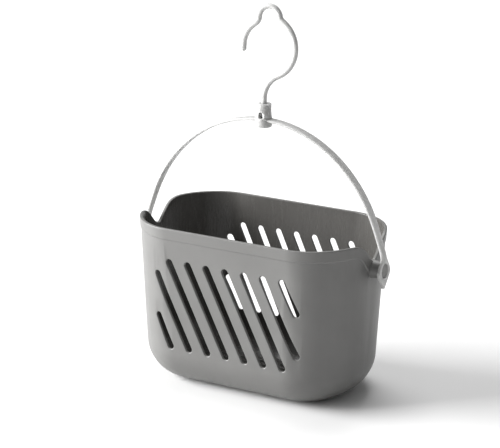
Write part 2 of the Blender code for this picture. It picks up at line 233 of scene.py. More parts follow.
# Plastics: (colour, roughness, grain, mottle, lighter colour of edges, a painted highlight and wear)
GREY_SATIN = ((0.140, 0.139, 0.135), 0.42, 0.30, 0.05, (0.20, 0.20, 0.195))
# The inside's grey is darker than the outside's as painted shade; its lower roughness is a real polish
GREY_GLOSS_PAINTED_SHADE = ((0.094, 0.091, 0.086), 0.25, 0.12, 0.05, (0.20, 0.20, 0.195))
WHITE_SATIN = ((0.42, 0.42, 0.415), 0.38, 0.15, 0.015, (0.50, 0.50, 0.49))
WHITE_SUBSURFACE = 0.9
WHITE_SUBSURFACE_DEPTH = 0.006
PLASTIC_IOR = 1.49

# Their patterns: scales are noise cells per metre, and ranges are of a noise's values
CLOUD_SCALE = 38.0
MIDDLE_RANGE = (0.3, 0.7)
SPECKLE_SCALE = 1400.0
SPECKLE_RANGE = (0.42, 0.78)
SPECKLE_SHARE = 0.35
FLOW_SCALE = 6.0
FLOW_STRETCH = (60.0, 60.0, 5.0)  # finer across than upwards, so the marks stand upright
FLOW_ROUGHNESS = 0.05
SPECKLE_ROUGHNESS = 0.03
# Edges: lighter in colour as a painted highlight and wear, and polished smoother
EDGE_RADIUS = 0.0007
EDGE_AGREEMENT = (0.995, 0.90)  # of normals, where the edges' painted highlight and wear start and where they are full
EDGE_HIGHLIGHT_AND_WEAR_PATCH_SCALE = 260.0
EDGE_HIGHLIGHT_AND_WEAR_PATCH_RANGE = (0.35, 0.65)
EDGE_HIGHLIGHT_AND_WEAR_LEAST = 0.35  # what is left of the painted highlight and wear between its patches
EDGE_HIGHLIGHT_AND_WEAR_COLOUR_SHARE = 0.45
WEAR_POLISH = 0.08
WAVE_SCALE = 55.0
WAVE_STRENGTH = 0.25
WAVE_HEIGHT = 0.0006
GRAIN_SCALE = 2400.0
GRAIN_HEIGHT = 0.00004

# Studio: a floor just under the base, even light all round and three softboxes
FLOOR_HALF = 60.0
FLOOR_GAP = 0.0004
FLOOR_COLOURS = ((0.80, 0.80, 0.80, 1.0), (0.82, 0.82, 0.82, 1.0))
FLOOR_CLOUD_SCALE = 2.0
FLOOR_ROUGHNESS = 0.9
FLOOR_SPECULAR = 0.1
WORLD_STRENGTH = 0.26
LIGHT_AIM = Vector((0.0, 0.0, 0.12))
SOFTBOXES = (  # (name, direction it stands in, distance, size, power)
    ("key", (-0.86, -0.46, 0.36), 6.0, 4.0, 880.0),
    ("side", (-0.95, -0.55, 0.16), 0.75, 0.6, 3.2),
    ("overhead", (-0.25, 0.45, 1.0), 3.0, 1.8, 60.0),
)

# Camera, as the direction it stands in from its target
VIEW_AZIMUTH = math.radians(29.19)
VIEW_ELEVATION = math.radians(16.699)
VIEW_ROLL = math.radians(-0.676)
VIEW_DISTANCE = 1.70814
VIEW_TARGET = Vector((-0.011975, 0.0, 0.134528))
VIEW_LENS = 145.853
VIEW_SENSOR = 36.0
VIEW_NEAREST = 0.05
VIEW_FARTHEST = 60.0


def smooth_step(value):
    """0 below 0, 1 above 1, and a smooth rise between them."""
    value = min(max(value, 0.0), 1.0)
    return value * value * (3.0 - 2.0 * value)


def blend(start, end, share):
    """The number that is a share of the way from start to end."""
    return start + (end - start) * share


# ---------------------------------------------------------------- mesh tools


def make_object(name, mesh_maker, triangulated=False):
    """A new object from a function that fills a bmesh with closed solids."""
    bm = bmesh.new()
    mesh_maker(bm)
    bmesh.ops.recalc_face_normals(bm, faces=bm.faces)
    if triangulated:
        bmesh.ops.triangulate(bm, faces=bm.faces)
    mesh = bpy.data.meshes.new(name)
    bm.to_mesh(mesh)
    bm.free()
    obj = bpy.data.objects.new(name, mesh)
    bpy.context.scene.collection.objects.link(obj)
    return obj


def apply_boolean(obj, other, operation):
    """Cuts or joins another object for good, and removes the other one."""
    modifier = obj.modifiers.new(operation.lower(), "BOOLEAN")
    modifier.operation = operation
    modifier.solver = "EXACT"
    modifier.object = other
    graph = bpy.context.evaluated_depsgraph_get()
    mesh = bpy.data.meshes.new_from_object(obj.evaluated_get(graph))
    obj.modifiers.clear()
    obj.data = mesh
    bpy.data.objects.remove(other, do_unlink=True)


def finish_surface(obj, materials, sharp_degrees):
    """Materials, and smooth shading that stays crisp where the surface turns sharply."""
    for material in materials:
        obj.data.materials.append(material)
    obj.data.shade_smooth()
    obj.data.set_sharp_from_angle(angle=math.radians(sharp_degrees))


def bridge(bm, first, second):
    """A closed strip of quads between two rings of the same length."""
    count = len(first)
    faces = []
    for i in range(count):
        j = (i + 1) % count
        faces.append(bm.faces.new((first[i], first[j], second[j], second[i])))
    return faces


def add_loft(bm, rings):
    """A closed solid through rings of points, with its side strips and its last end."""
    made = [[bm.verts.new(point) for point in ring] for ring in rings]
    strips = [bridge(bm, lower, upper) for lower, upper in zip(made, made[1:])]
    bm.faces.new(made[0])
    last = bm.faces.new(list(reversed(made[-1])))
    return strips, last


def add_turned(bm, profile, place, segments=72):
    """A solid of revolution from profile points (radius, height), ends closed flat."""
    turns = [2.0 * math.pi * i / segments for i in range(segments)]
    add_loft(
        bm,
        [[place(r * math.cos(t), r * math.sin(t), h) for t in turns] for r, h in profile],
    )


def upright(u, v, w):
    """Places a turned solid on the Z axis."""
    return (u, v, w)


def rounded(points, radius, steps=4, largest_share=0.45):
    """The same open profile with each inner corner turned into a small curve."""
    result = [points[0]]
    for before, corner, after in zip(points, points[1:], points[2:]):
        ends = []
        for other in (before, after):
            length = math.dist(corner, other)
            share = min(radius / length, largest_share)
            ends.append([blend(c, o, share) for c, o in zip(corner, other)])
        for i in range(steps + 1):
            t = i / steps
            weights = ((1 - t) ** 2, 2 * t * (1 - t), t * t)
            curve = (ends[0], corner, ends[1])
            result.append(tuple(sum(w * c[k] for w, c in zip(weights, curve)) for k in (0, 1)))
    return result + [points[-1]]


def stadium(start, end, radius, end_steps=12, side_steps=16):
    """Outline of a round-ended slot between two centre points, its long sides in short steps."""
    (x0, y0), (x1, y1) = start, end
    along = math.atan2(y1 - y0, x1 - x0)
    turns = [math.pi * i / end_steps - math.pi / 2 for i in range(end_steps + 1)]
    arcs = []
    for (x, y), heading in ((end, along), (start, along + math.pi)):
        angles = [heading + turn for turn in turns]
        arcs.append([(x + radius * math.cos(a), y + radius * math.sin(a)) for a in angles])
    points = []
    for arc, following in zip(arcs, arcs[::-1]):
        points += arc
        for i in range(1, side_steps):
            share = i / side_steps
            points.append(tuple(blend(a, b, share) for a, b in zip(arc[-1], following[0])))
    return points


def flare(radius, reach, steps=4, steepest=math.radians(68)):
    """(height above the surface, widening) pairs down the rounded mouth of a cutter."""
    turns = [steepest * i / steps for i in range(steps, -1, -1)]
    pairs = [(radius * (math.sin(a) - 1.0), radius * (1.0 - math.cos(a))) for a in turns]
    height, widening = pairs[0]
    return [(reach, widening + (reach - height) * math.tan(steepest))] + pairs


# ---------------------------------------------------------------- basket


def rim_height(y):
    """Height of the rim, which dips into a rounded notch at the middle of each end."""
    return BASKET_HEIGHT - NOTCH_DEPTH * math.exp(-((y / NOTCH_SPREAD) ** 2))


def shell_halves(z):
    """Half the wall's length and half its depth at height z."""
    drop = BASKET_HEIGHT - z
    half_x = RIM_LENGTH / 2 - BAND_PROUD - TAPER_X * drop
    half_y = DEPTH / 2 - BAND_PROUD - TAPER_Y * drop
    return half_x, half_y


def shell_point(column, offset, z):
    """A point of the shell at height z, moved outwards from its surface by offset."""
    side_x, side_y, angle = column
    half_x, half_y = shell_halves(z)
    x = half_x - CORNER_X + (CORNER_X + offset) * math.cos(angle)
    y = half_y - CORNER_Y + (CORNER_Y + offset) * math.sin(angle)
    return (side_x * x, side_y * y, z)


def shell_columns(corner_steps=64, crowding=1.3):
    """(x side, y side, corner angle) of each column, once round, closer together near the ends."""
    shares = [(i / corner_steps) ** crowding for i in range(corner_steps + 1)]
    angles = [math.pi / 2 * share for share in shares]
    columns = [(1, share, 0.0) for share in END_SHARES]
    columns += [(1, 1, angle) for angle in angles]
    columns += [(share, 1, math.pi / 2) for share in SIDE_SHARES]
    columns += [(-1, 1, angle) for angle in reversed(angles)]
    columns += [(-1, share, 0.0) for share in reversed(END_SHARES)]
    columns += [(-1, -1, angle) for angle in angles]
    columns += [(share, -1, math.pi / 2) for share in reversed(SIDE_SHARES)]
    columns += [(1, -1, angle) for angle in reversed(angles)]
    return columns


def shell_profile(column, round_steps=14, edge_steps=5, rise_steps=6):
    """(outer, inner) lists of (offset, z): up the outside to the rim, then down the inside."""
    y = shell_point(column, 0.0, BASKET_HEIGHT)[1]
    rim = rim_height(y)
    slope = 2.0 * y / NOTCH_SPREAD**2 * (BASKET_HEIGHT - rim)
    step_z = rim - BAND_HEIGHT * math.sqrt(1.0 + slope * slope)
    turns = [math.pi / 2 * i / round_steps for i in range(round_steps + 1)]
    edges = [math.pi / 2 * i / edge_steps for i in range(edge_steps + 1)]
    rises = [i / rise_steps for i in range(rise_steps + 1)]
    wall_z = [blend(BASE_ROUND, step_z - BAND_RISE / 2, share) for share in WALL_LEVELS]
    outer = [(-BASE_FLAT_INSET, 0.0)]
    outer += [(BASE_ROUND * (math.sin(a) - 1.0), BASE_ROUND * (1.0 - math.cos(a))) for a in turns]
    outer += [(0.0, z) for z in wall_z]
    outer += [(BAND_PROUD * smooth_step(s), step_z + BAND_RISE * (s - 0.5)) for s in rises]
    outer += [
        (BAND_PROUD - RIM_ROUND * (1.0 - math.cos(a)), rim - RIM_ROUND * (1.0 - math.sin(a)))
        for a in edges
    ]
    inner = [
        (RIM_ROUND * (1.0 - math.cos(a)) - WALL, rim - RIM_ROUND * (1.0 - math.sin(a)))
        for a in reversed(edges)
    ]
    inner += [(-WALL, z) for z in reversed(wall_z)]
    hollow = BASE_ROUND - WALL
    inner += [
        (hollow * math.sin(a) - BASE_ROUND, BASE_ROUND - (BASE_ROUND - FLOOR) * math.cos(a))
        for a in reversed(turns)
    ]
    inner += [(-BASE_FLAT_INSET, FLOOR)]
    return outer, inner


def add_shell(bm):
    """The shell, with its inner faces in the second material slot."""
    columns = shell_columns()
    profiles = [shell_profile(column) for column in columns]
    outer_count = len(profiles[0][0])
    levels = zip(*[outer + inner for outer, inner in profiles])
    rings = [
        [shell_point(column, *place) for column, place in zip(columns, level)] for level in levels
    ]
    strips, floor = add_loft(bm, rings)
    for strip in strips[outer_count + 1 :]:
        for face in strip:
            face.material_index = 1
    floor.material_index = 1


def on_pivot(side):
    """Places a turned solid on the pivots' axis, pointing out of one end of the basket."""
    return lambda u, v, w: (side * w, u, PIVOT_Z + v)


def add_pivots(bm):
    """The shoulder and peg on each end, from inside the wall to the peg's outer face."""
    wall_x = shell_point((1, 0, 0.0), 0.0, PIVOT_Z)[0]
    shoulder_x = OVERALL_WIDTH / 2 - EAR_THICKNESS - RUNNING_GAP
    corners = [
        (SHOULDER_ROOT_RADIUS, wall_x - WALL / 2),
        (SHOULDER_RADIUS, shoulder_x),
        (PEG_RADIUS, shoulder_x),
        (PEG_RADIUS, PEG_FACE_X),
        (PEG_FACE_RADIUS, PEG_FACE_X),
    ]
    for side in (1, -1):
        add_turned(bm, rounded(corners, PEG_ROUND), on_pivot(side))


def wall_y(x, z, offset):
    """How far the long wall's surface is from the middle plane at x and z."""
    half_x, half_y = shell_halves(z)
    reach = max(abs(x) - half_x + CORNER_X, 0.0) / (CORNER_X + offset)
    return half_y - CORNER_Y + (CORNER_Y + offset) * math.sqrt(1.0 - reach * reach)


def slot_ends(index):
    """Centre points (x, z) of a wall slot's two round ends."""
    slant = math.tan(SLOT_SLANT)
    middle_x = (index - (SLOT_COUNT - 1) / 2) * SLOT_PITCH
    middle_z = (SLOT_TOP_Z + SLOT_BOTTOM_Z) / 2
    top = min(SLOT_TOP_Z, middle_z + (middle_x + SLOT_REACH_X) / slant)
    bottom = max(SLOT_BOTTOM_Z, middle_z + (middle_x - SLOT_REACH_X) / slant)
    return [(middle_x + (middle_z - z) * slant, z) for z in (top, bottom)]


def add_wall_slots(bm):
    """Cutters with rounded mouths, which follow the wall's inner and outer surfaces."""
    outer_mouth = flare(SLOT_OUTER_ROUND, SLOT_CUT_PAST)
    inner_mouth = flare(SLOT_INNER_ROUND, SLOT_CUT_PAST)
    outside = [(0.0, height, widening) for height, widening in outer_mouth]
    inside = [(-WALL, -height, widening) for height, widening in inner_mouth]
    for index in range(SLOT_COUNT):
        for side in (1, -1):
            rings = []
            for offset, height, widening in outside + inside[::-1]:
                outline = stadium(*slot_ends(index), SLOT_WIDTH / 2 + widening)
                rings.append([(x, side * (wall_y(x, z, offset) + height), z) for x, z in outline])
            rings.insert(0, [(x, side * (DEPTH / 2 + CUTTER_REACH), z) for x, _, z in rings[0]])
            rings.append([(x, side * CUTTER_INNER_Y, z) for x, _, z in rings[-1]])
            add_loft(bm, rings)


def base_offset(x, y, halvings=30, deepest=-0.95 * CORNER_X):
    """How far a point of the base is outside the shell's outline, so negative."""
    half_x, half_y = shell_halves(0.0)
    reach_x = max(abs(x) - half_x + CORNER_X, 0.0)
    reach_y = max(abs(y) - half_y + CORNER_Y, 0.0)
    low, high = deepest, 0.0
    for _ in range(halvings):
        middle = (low + high) / 2
        if math.hypot(reach_x / (CORNER_X + middle), reach_y / (CORNER_Y + middle)) > 1.0:
            low = middle
        else:
            high = middle
    return high


def base_heights(x, y):
    """Heights of the basket's underside and of its floor at x and y."""
    run = max(base_offset(x, y) + BASE_ROUND, 0.0)
    under = BASE_ROUND - math.sqrt(BASE_ROUND**2 - run**2)
    share = min(run / (BASE_ROUND - WALL), 1.0)
    floor = BASE_ROUND - (BASE_ROUND - FLOOR) * math.sqrt(1.0 - share**2)
    return under, floor


def add_drain_slots(bm):
    """Cutters with rounded mouths, which follow the underside and the floor."""
    mouth = flare(DRAIN_ROUND, DRAIN_CUT_PAST)
    below = [(0, -height, widening) for height, widening in mouth]
    above = [(1, height, widening) for height, widening in mouth]
    for row in range(DRAIN_ROWS):
        y = (row - (DRAIN_ROWS - 1) / 2) * DRAIN_PITCH
        end = DRAIN_REACH_X - DRAIN_SHORTENING * y * y - DRAIN_WIDTH / 2
        start = DRAIN_BRIDGE / 2 + DRAIN_WIDTH / 2
        for side in (1, -1):
            ends = sorted((side * start, side * end))
            rings = []
            for surface, height, widening in below + above[::-1]:
                radius = DRAIN_WIDTH / 2 + widening
                outline = stadium((ends[0], y), (ends[1], y), radius, end_steps=8)
                rings.append([(u, v, base_heights(u, v)[surface] + height) for u, v in outline])
            rings.insert(0, [(u, v, -CUTTER_REACH) for u, v, _ in rings[0]])
            rings.append([(u, v, CUTTER_TOP_Z) for u, v, _ in rings[-1]])
            add_loft(bm, rings)


def wall_normal(point, offset):
    """(distance of a point from the wall's surface, the surface's normal beside it)."""
    x, y, z = point
    half_x, half_y = shell_halves(z)
    radius_x, radius_y = CORNER_X + offset, CORNER_Y + offset
    run_x = max(abs(x) - half_x + CORNER_X, 0.0) / radius_x
    run_y = max(abs(y) - half_y + CORNER_Y, 0.0) / radius_y
    slope_x, slope_y = run_x / radius_x, run_y / radius_y
    slope_z = -(slope_x * TAPER_X + slope_y * TAPER_Y)
    normal = Vector((math.copysign(slope_x, x), math.copysign(slope_y, y), slope_z))
    return abs(math.hypot(run_x, run_y) - 1.0) * radius_x, normal.normalized()


def smooth_walls(mesh):
    """Gives the wall faces the normals of the true surface, so that cuts leave no streaks."""
    normals = [Vector(corner.vector) for corner in mesh.corner_normals]
    for offset, side in ((0.0, 1.0), (BAND_PROUD, 1.0), (-WALL, -1.0)):
        known = {}
        for vertex in mesh.vertices:
            if BASE_ROUND - SURFACE_REACH < vertex.co.z < BASKET_HEIGHT - RIM_ROUND / 2:
                distance, normal = wall_normal(vertex.co, offset)
                if distance < SURFACE_REACH:
                    known[vertex.index] = side * normal
        for index, loop in enumerate(mesh.loops):
            normal = known.get(loop.vertex_index)
            if normal is not None and normal.dot(normals[index]) > SAME_SURFACE:
                normals[index] = normal
    mesh.normals_split_custom_set(normals)


def make_basket(materials):
    """The basket with its outside in the first material and its inside in the second."""
    basket = make_object("basket_shell", add_shell)
    apply_boolean(basket, make_object("pivots", add_pivots), "UNION")
    apply_boolean(basket, make_object("wall_slots", add_wall_slots, triangulated=True), "DIFFERENCE")
    apply_boolean(basket, make_object("drain_slots", add_drain_slots, triangulated=True), "DIFFERENCE")
    finish_surface(basket, materials, BASKET_SHARP_DEGREES)
    smooth_walls(basket.data)
    return basket


# ---------------------------------------------------------------- handle


def arch_x(z):
    """Half the arch's width at height z, on its ellipse."""
    return ARCH_HALF_WIDTH * math.sqrt(1.0 - ((z - ARCH_CENTRE_Z) / ARCH_HEIGHT) ** 2)


def handle_path(tip_steps=4, ear_steps=40, bend_steps=12, arch_steps=48):
    """Centre line (x, z) of the right half, from the ear's tip up to the top of the arch."""
    ear_x = (OVERALL_WIDTH - EAR_THICKNESS) / 2
    turns = [blend(TIP_FIRST_TURN, 1.0, i / tip_steps) for i in range(1, tip_steps)]
    heights = [EAR_TIP_Z]
    heights += [EAR_TIP_Z + BAND_EDGE * (1.0 - math.cos(math.pi / 2 * turn)) for turn in turns]
    ear_start = EAR_TIP_Z + BAND_EDGE
    heights += [
        blend(ear_start, EAR_STRAIGHT_TOP_Z, i / ear_steps) for i in range(ear_steps + 1)
    ]
    points = [(ear_x, z) for z in heights]
    arch_end = (arch_x(ARCH_START_Z), ARCH_START_Z)
    slope = (ARCH_HALF_WIDTH / ARCH_HEIGHT) ** 2 * (ARCH_START_Z - ARCH_CENTRE_Z) / arch_end[0]
    run = (ARCH_START_Z - EAR_STRAIGHT_TOP_Z) / 2
    pulls = ((ear_x, EAR_STRAIGHT_TOP_Z + run / 2), (arch_end[0] + slope * run, ARCH_START_Z - run))
    corners = (points[-1], *pulls, arch_end)
    for i in range(1, bend_steps + 1):
        t = i / bend_steps
        weights = ((1 - t) ** 3, 3 * t * (1 - t) ** 2, 3 * t * t * (1 - t), t**3)
        points.append(tuple(sum(w * c[k] for w, c in zip(weights, corners)) for k in (0, 1)))
    start = math.asin((ARCH_START_Z - ARCH_CENTRE_Z) / ARCH_HEIGHT)
    for i in range(1, arch_steps + 1):
        angle = blend(start, math.pi / 2, i / arch_steps)
        x = ARCH_HALF_WIDTH * math.cos(angle)
        points.append((x, ARCH_CENTRE_Z + ARCH_HEIGHT * math.sin(angle)))
    return points


def half_width_at(z):
    """Half the handle's width along Y: a leaf-shaped ear, a slim leg and a wider band."""
    if z < EAR_WIDEST_Z:
        drop = (EAR_WIDEST_Z - z) / (EAR_WIDEST_Z - EAR_TIP_Z)
        return max(EAR_HALF_WIDTH * (1.0 - drop**EAR_TAPER_POWER), EAR_TIP_HALF_WIDTH)
    if z < EAR_ROOT_Z:
        share = smooth_step((z - EAR_WIDEST_Z) / (EAR_ROOT_Z - EAR_WIDEST_Z))
        return blend(EAR_HALF_WIDTH, LEG_HALF_WIDTH, share)
    share = smooth_step((z - EAR_ROOT_Z) / (BAND_FULL_Z - EAR_ROOT_Z))
    return blend(LEG_HALF_WIDTH, BAND_HALF_WIDTH, share)


def thickness_at(z):
    """The handle's thickness, from the ear's to the thinner band's."""
    share = smooth_step((z - EAR_STRAIGHT_TOP_Z) / (ARCH_START_Z - EAR_STRAIGHT_TOP_Z))
    return blend(EAR_THICKNESS, BAND_THICKNESS, share)


def band_section(thick, wide, inset, edge_steps=4):
    """The band's round-cornered cross-section as (out, along Y) pairs, shrunk by inset."""
    radius = BAND_EDGE - inset
    points = []
    for side_n, side_y, first in ((1, 1, 0.0), (-1, 1, 0.5), (-1, -1, 1.0), (1, -1, 1.5)):
        for i in range(edge_steps + 1):
            angle = math.pi * (first + 0.5 * i / edge_steps)
            n = side_n * (thick - BAND_EDGE) + radius * math.cos(angle)
            y = side_y * (wide - BAND_EDGE) + radius * math.sin(angle)
            points.append((n, y))
    return points


def add_ribbon(bm):
    """The whole arch from ear tip to ear tip, as one band."""
    right = handle_path()
    path = right + [(-x, z) for x, z in reversed(right[:-1])]
    rings = []
    for i, (x, z) in enumerate(path):
        before, after = path[max(i - 1, 0)], path[min(i + 1, len(path) - 1)]
        length = math.hypot(after[0] - before[0], after[1] - before[1])
        normal = ((after[1] - before[1]) / length, (before[0] - after[0]) / length)
        short = max(1.0 - (z - EAR_TIP_Z) / BAND_EDGE, 0.0)
        inset = TIP_ROUNDING * BAND_EDGE * (1.0 - math.sqrt(1.0 - short * short))
        section = band_section(thickness_at(z) / 2, half_width_at(z), inset)
        rings.append([(x + normal[0] * n, y, z + normal[1] * n) for n, y in section])
    add_loft(bm, rings)


def add_hub(bm):
    """The turned outside of the hub: a ring, a tapering barrel and a collar."""
    corners = [
        (HUB_RING_RADIUS - HUB_FACE_INSET, HUB_BOTTOM_Z),
        (HUB_RING_RADIUS - HUB_FOOT_INSET, HUB_BOTTOM_Z),
        (HUB_RING_RADIUS, HUB_BOTTOM_Z + HUB_FOOT_HEIGHT),
        (HUB_RING_RADIUS, HUB_RING_TOP_Z),
        (HUB_BARREL_RADIUS, HUB_RING_TOP_Z + HUB_STEP),
        (HUB_NECK_RADIUS, HUB_COLLAR_Z),
        (HUB_COLLAR_RADIUS, HUB_COLLAR_Z + HUB_STEP),
        (HUB_COLLAR_RADIUS, HUB_TOP_Z),
        (HUB_COLLAR_RADIUS - HUB_FACE_INSET, HUB_TOP_Z),
    ]
    add_turned(bm, rounded(corners, HUB_ROUND), upright)


def add_hub_cage(bm):
    """The hollow that holds the hook's head, with the stem's bore above it."""
    bore = ROD_RADIUS + RUNNING_GAP
    profile = [
        (CAGE_RADIUS, CAGE_BOTTOM_Z),
        (CAGE_RADIUS, CAGE_TOP_Z - CAGE_CHAMFER),
        (bore, CAGE_TOP_Z),
        (bore, HUB_TOP_Z - BORE_CHAMFER),
        (bore + BORE_CHAMFER + BORE_CUT_PAST, HUB_TOP_Z + BORE_CUT_PAST),
    ]
    add_turned(bm, profile, upright)


def add_hub_windows(bm, arch_steps=16):
    """An arched window through the front and back of the hub."""
    radius = WINDOW_WIDTH / 2
    outline = [(-radius, WINDOW_BOTTOM_Z), (radius, WINDOW_BOTTOM_Z)]
    for i in range(arch_steps + 1):
        angle = math.pi * i / arch_steps
        z = WINDOW_TOP_Z - radius + radius * math.sin(angle)
        outline.append((radius * math.cos(angle), z))
    add_loft(bm, [[(u, y, v) for u, v in outline] for y in (-WINDOW_REACH, WINDOW_REACH)])


def add_ear_holes(bm):
    """Cutters for the two holes that turn on the pegs, with rounded mouths."""
    radius = PEG_RADIUS + RUNNING_GAP
    outer_x = OVERALL_WIDTH / 2
    mouth = flare(EAR_HOLE_ROUND, EAR_HOLE_CUT_PAST)
    profile = [(radius + widening, outer_x + height) for height, widening in mouth]
    inner_x = outer_x - EAR_THICKNESS
    profile += [(radius + widening, inner_x - height) for height, widening in reversed(mouth)]
    for side in (1, -1):
        add_turned(bm, profile, on_pivot(side))


def make_handle(materials):
    """The arched band with its ears and the hollow hub, in one piece."""
    handle = make_object("handle_arch", add_ribbon)
    apply_boolean(handle, make_object("hub", add_hub), "UNION")
    apply_boolean(handle, make_object("ear_holes", add_ear_holes), "DIFFERENCE")
    apply_boolean(handle, make_object("hub_cage", add_hub_cage), "DIFFERENCE")
    apply_boolean(handle, make_object("hub_windows", add_hub_windows), "DIFFERENCE")
    finish_surface(handle, materials, WHITE_SHARP_DEGREES)
    return handle


# ---------------------------------------------------------------- hook


def hook_path(degrees_per_step=3.0):
    """Points and headings (x, z, heading) of the rod's centre line, starting up the stem."""
    x, z, heading = 0.0, HOOK_START_Z, math.pi / 2
    points = [(x, HEAD_TOP_Z - NECK_OVERLAP, heading), (x, z, heading)]
    for piece in HOOK_PATH:
        if len(piece) == 1:
            x += piece[0] * math.cos(heading)
            z += piece[0] * math.sin(heading)
            points.append((x, z, heading))
            continue
        radius, turn = piece
        steps = max(2, round(abs(turn) / degrees_per_step))
        part = math.radians(turn) / steps
        for _ in range(steps):
            chord = 2.0 * radius * math.sin(abs(part) / 2)
            x += chord * math.cos(heading + part / 2)
            z += chord * math.sin(heading + part / 2)
            heading += part
            points.append((x, z, heading))
    return points


def add_rod(bm, segments=32, tip_steps=8):
    """The bent rod, with a half-round tip at its free end."""
    points = hook_path()
    stations = [(x, z, heading, ROD_RADIUS) for x, z, heading in points]
    x, z, heading = points[-1]
    for i in range(1, tip_steps + 1):
        tilt = ROD_TIP_TURN * i / tip_steps
        reach = ROD_RADIUS * math.sin(tilt)
        tip = (x + reach * math.cos(heading), z + reach * math.sin(heading))
        stations.append((*tip, heading, ROD_RADIUS * math.cos(tilt)))
    rings = []
    for x, z, heading, radius in stations:
        ring = []
        for i in range(segments):
            angle = 2.0 * math.pi * i / segments
            aside, across = radius * math.cos(angle), radius * math.sin(angle)
            ring.append((x + aside * math.sin(heading), across, z - aside * math.cos(heading)))
        rings.append(ring)
    add_loft(bm, rings)


def add_head(bm):
    """The barbed head: a cone that widens upwards to a shoulder under the stem's neck."""
    corners = [
        (HEAD_TIP_RADIUS, HEAD_BOTTOM_Z),
        (HEAD_RADIUS, HEAD_WIDE_BOTTOM_Z),
        (HEAD_RADIUS, HEAD_WIDE_TOP_Z),
        (NECK_RADIUS, HEAD_TOP_Z - NECK_OVERLAP),
        (NECK_RADIUS, HEAD_TOP_Z + NECK_RISE),
    ]
    add_turned(bm, rounded(corners, HEAD_ROUND), upright, segments=48)


def add_head_split(bm):
    """A cutter for the slit that lets the head's two halves spring together."""
    half = HEAD_SPLIT / 2
    reach = 2 * HEAD_RADIUS
    outline = ((-half, -reach), (half, -reach), (half, reach), (-half, reach))
    levels = (HEAD_BOTTOM_Z - HEAD_SPLIT, HEAD_SPLIT_TOP_Z)
    add_loft(bm, [[(u, v, z) for u, v in outline] for z in levels])


def make_hook(materials):
    """The bent rod with the split head that snaps into the hub, in one piece."""
    hook = make_object("hook_rod", add_rod)
    apply_boolean(hook, make_object("head", add_head), "UNION")
    apply_boolean(hook, make_object("head_split", add_head_split), "DIFFERENCE")
    finish_surface(hook, materials, WHITE_SHARP_DEGREES)
    return hook


# ---------------------------------------------------------------- materials


class Nodes:
    """Short calls for making and linking a material's shader nodes."""

    def __init__(self, name):
        self.material = bpy.data.materials.new(name)
        self.material.use_nodes = True
        self.tree = self.material.node_tree
        self.shader = self.tree.nodes["Principled BSDF"]

    def put(self, socket, value):
        if isinstance(value, bpy.types.NodeSocket):
            self.tree.links.new(value, socket)
        else:
            socket.default_value = value

    def add(self, kind, output=0, **values):
        """An output of a new node whose named inputs are set or linked."""
        node = self.tree.nodes.new(kind)
        for key, value in values.items():
            self.put(node.inputs[key.replace("_", " ")], value)
        return node.outputs[output]

    def noise(self, place, scale, detail=2.0, roughness=0.5):
        return self.add(
            "ShaderNodeTexNoise", "Fac", Vector=place, Scale=scale, Detail=detail, Roughness=roughness
        )

    def ordered(self, kind, values, operation=None):
        """A new node whose first inputs are set or linked in order."""
        node = self.tree.nodes.new(kind)
        if operation:
            node.operation = operation
        for socket, value in zip(node.inputs, values):
            self.put(socket, value)
        return node

    def math(self, operation, first, second):
        return self.ordered("ShaderNodeMath", (first, second), operation).outputs[0]

    def dot(self, first, second):
        node = self.ordered("ShaderNodeVectorMath", (first, second), "DOT_PRODUCT")
        return node.outputs["Value"]

    def ranged(self, value, low, high, to_low, to_high):
        values = (value, low, high, to_low, to_high)
        return self.ordered("ShaderNodeMapRange", values).outputs[0]

    def mixed(self, share, first, second):
        node = self.tree.nodes.new("ShaderNodeMix")
        node.data_type = "RGBA"
        for name, value in (("Factor_Float", share), ("A_Color", first), ("B_Color", second)):
            socket = next(s for s in node.inputs if s.identifier == name)
            self.put(socket, value)
        return next(s for s in node.outputs if s.identifier == "Result_Color")


